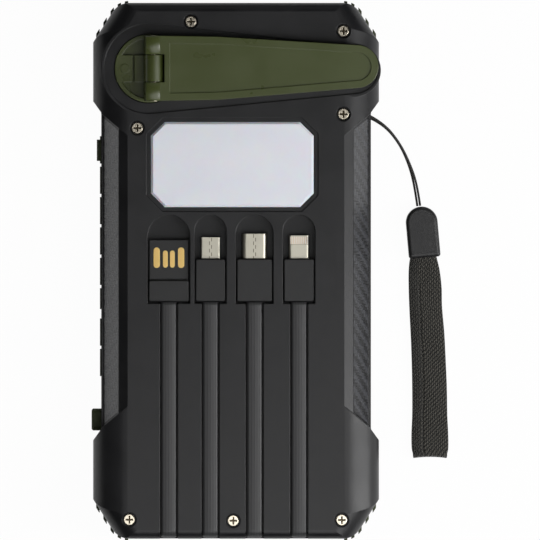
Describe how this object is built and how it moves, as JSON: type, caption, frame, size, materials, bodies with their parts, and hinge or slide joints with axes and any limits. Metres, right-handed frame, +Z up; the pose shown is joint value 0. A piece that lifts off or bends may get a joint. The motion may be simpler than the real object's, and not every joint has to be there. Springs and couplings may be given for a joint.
{
  "type": "hand crank phone charger",
  "caption": "Rugged pocket charger with a folding crank and generator, lamp panel, solar face, captive leads in grooves, side sockets and a lanyard.",
  "frame": {"origin": "centre of the case's outline on the plane it lies on, solar face down; the lanyard isn't counted", "axes": "+Z up out of the crank face, +Y along the case from the lead roots to the crank end, +X from the port cover's side to the lanyard's side"},
  "size_m": [0.1017, 0.1544, 0.0319],
  "materials": {
    "shell": "fine moulded texture, matte",
    "grip": "twill-woven look under a clear coat",
    "bumper": "soft matte rubber",
    "crank": "satin moulded",
    "lens": "milky diffuser",
    "steel": "nickel plated",
    "brass": "satin",
    "gold": "gold plated",
    "plug_metal": "satin",
    "cable": "matte, fine lengthwise ribs",
    "board": "solder mask",
    "led": "phosphor yellow",
    "cell": "foil pouch",
    "foam": "foam tape",
    "solar": "clear resin over dark cells",
    "gear": "moulded acetal",
    "frame": "moulded nylon",
    "webbing": "woven"
  },
  "bodies": {
    "case": {"back_shell": "shell", "front_shell": "shell", "bumper_frame": "bumper", "carbon_grip_left": "grip", "carbon_grip_right": "grip", "case_screws": "steel", "solar_panel": "solar", "lamp_lens": "lens", "lamp_circuit": "board", "lamp_leds": "led", "hub_bush": "brass", "gearbox_base": "frame", "gearbox_cover": "frame", "gearbox_screws": "steel", "gear_arbors": "steel", "generator_case": "steel", "generator_coils": "brass", "main_board": "board", "board_screws": "steel", "usb_a_socket": "plug_metal", "type_c_socket": "plug_metal", "micro_usb_socket": "plug_metal", "button_switch": "frame", "battery_cell": "cell", "cell_pad": "foam", "lanyard_pin": "steel", "lanyard_cord_upper": "webbing", "lanyard_cord_lower": "webbing", "lanyard_cap": "frame", "lanyard_strap": "webbing", "usb_a_lead_root": "cable", "micro_usb_lead_root": "cable", "type_c_lead_root": "cable", "lightning_lead_root": "cable"},
    "crank": {"crank_hub": "crank", "hinge_pin": "steel", "drive_gear": "gear", "hub_screw": "steel"},
    "arm": {"crank_arm": "crank", "knob_screw": "steel"},
    "knob": {"crank_knob": "crank"},
    "first_idler": {"first_idler": "gear"},
    "second_idler": {"second_idler": "gear"},
    "rotor": {"generator_rotor": "steel"},
    "button": {"power_button": "bumper"},
    "port_cover": {"port_cover": "bumper"},
    "usb_a_lead": {"usb_a_lead": "cable", "usb_a_plug_grip": "cable", "usb_a_plug_metal": "frame", "usb_a_contacts": "gold"},
    "micro_usb_lead": {"micro_usb_lead": "cable", "micro_usb_plug_grip": "cable", "micro_usb_plug_metal": "plug_metal"},
    "type_c_lead": {"type_c_lead": "cable", "type_c_plug_grip": "cable", "type_c_plug_metal": "plug_metal"},
    "lightning_lead": {"lightning_lead": "cable", "lightning_plug_grip": "cable", "lightning_plug_metal": "plug_metal"}
  },
  "joints": [
    {"name": "crank_spin", "type": "hinge", "parent": "case", "child": "crank", "pos_m": [-0.0249, 0.0578, 0.026], "axis": [0, 0, 1], "continuous": true},
    {"name": "arm_fold", "type": "hinge", "parent": "crank", "child": "arm", "pos_m": [-0.0234, 0.0578, 0.0291], "axis": [0, -1, 0], "range_deg": [0, 180]},
    {"name": "knob_spin", "type": "hinge", "parent": "arm", "child": "knob", "pos_m": [0.0346, 0.0583, 0.0283], "axis": [0, 0, 1], "continuous": true},
    {"name": "first_idler_spin", "type": "hinge", "parent": "case", "child": "first_idler", "pos_m": [-0.01058, 0.05579, 0.011], "axis": [0, 0, 1], "continuous": true},
    {"name": "second_idler_spin", "type": "hinge", "parent": "case", "child": "second_idler", "pos_m": [0.00374, 0.05378, 0.014], "axis": [0, 0, 1], "continuous": true},
    {"name": "rotor_spin", "type": "hinge", "parent": "case", "child": "rotor", "pos_m": [0.01806, 0.05176, 0.014], "axis": [0, 0, 1], "continuous": true},
    {"name": "button_press", "type": "slide", "parent": "case", "child": "button", "axis": [1, 0, 0], "range_m": [0, 0.0006], "stiffness_N_per_m": 1500},
    {"name": "cover_swing", "type": "hinge", "parent": "case", "child": "port_cover", "pos_m": [-0.03785, -0.012, 0.0106], "axis": [0, 0, 1], "range_deg": [0, 90]},
    {"name": "usb_a_lead_lift", "type": "hinge", "parent": "case", "child": "usb_a_lead", "pos_m": [-0.0192, -0.0715, 0.02495], "axis": [1, 0, 0], "range_deg": [0, 110]},
    {"name": "micro_usb_lead_lift", "type": "hinge", "parent": "case", "child": "micro_usb_lead", "pos_m": [-0.0073, -0.0715, 0.02495], "axis": [1, 0, 0], "range_deg": [0, 110]},
    {"name": "type_c_lead_lift", "type": "hinge", "parent": "case", "child": "type_c_lead", "pos_m": [0.0053, -0.0715, 0.02495], "axis": [1, 0, 0], "range_deg": [0, 110]},
    {"name": "lightning_lead_lift", "type": "hinge", "parent": "case", "child": "lightning_lead", "pos_m": [0.018, -0.0715, 0.02495], "axis": [1, 0, 0], "range_deg": [0, 110]}
  ],
  "couplings": [
    {"joint": "first_idler_spin", "follows": "crank_spin", "ratio": -3},
    {"joint": "second_idler_spin", "follows": "crank_spin", "ratio": 9},
    {"joint": "rotor_spin", "follows": "crank_spin", "ratio": -27}
  ]
}
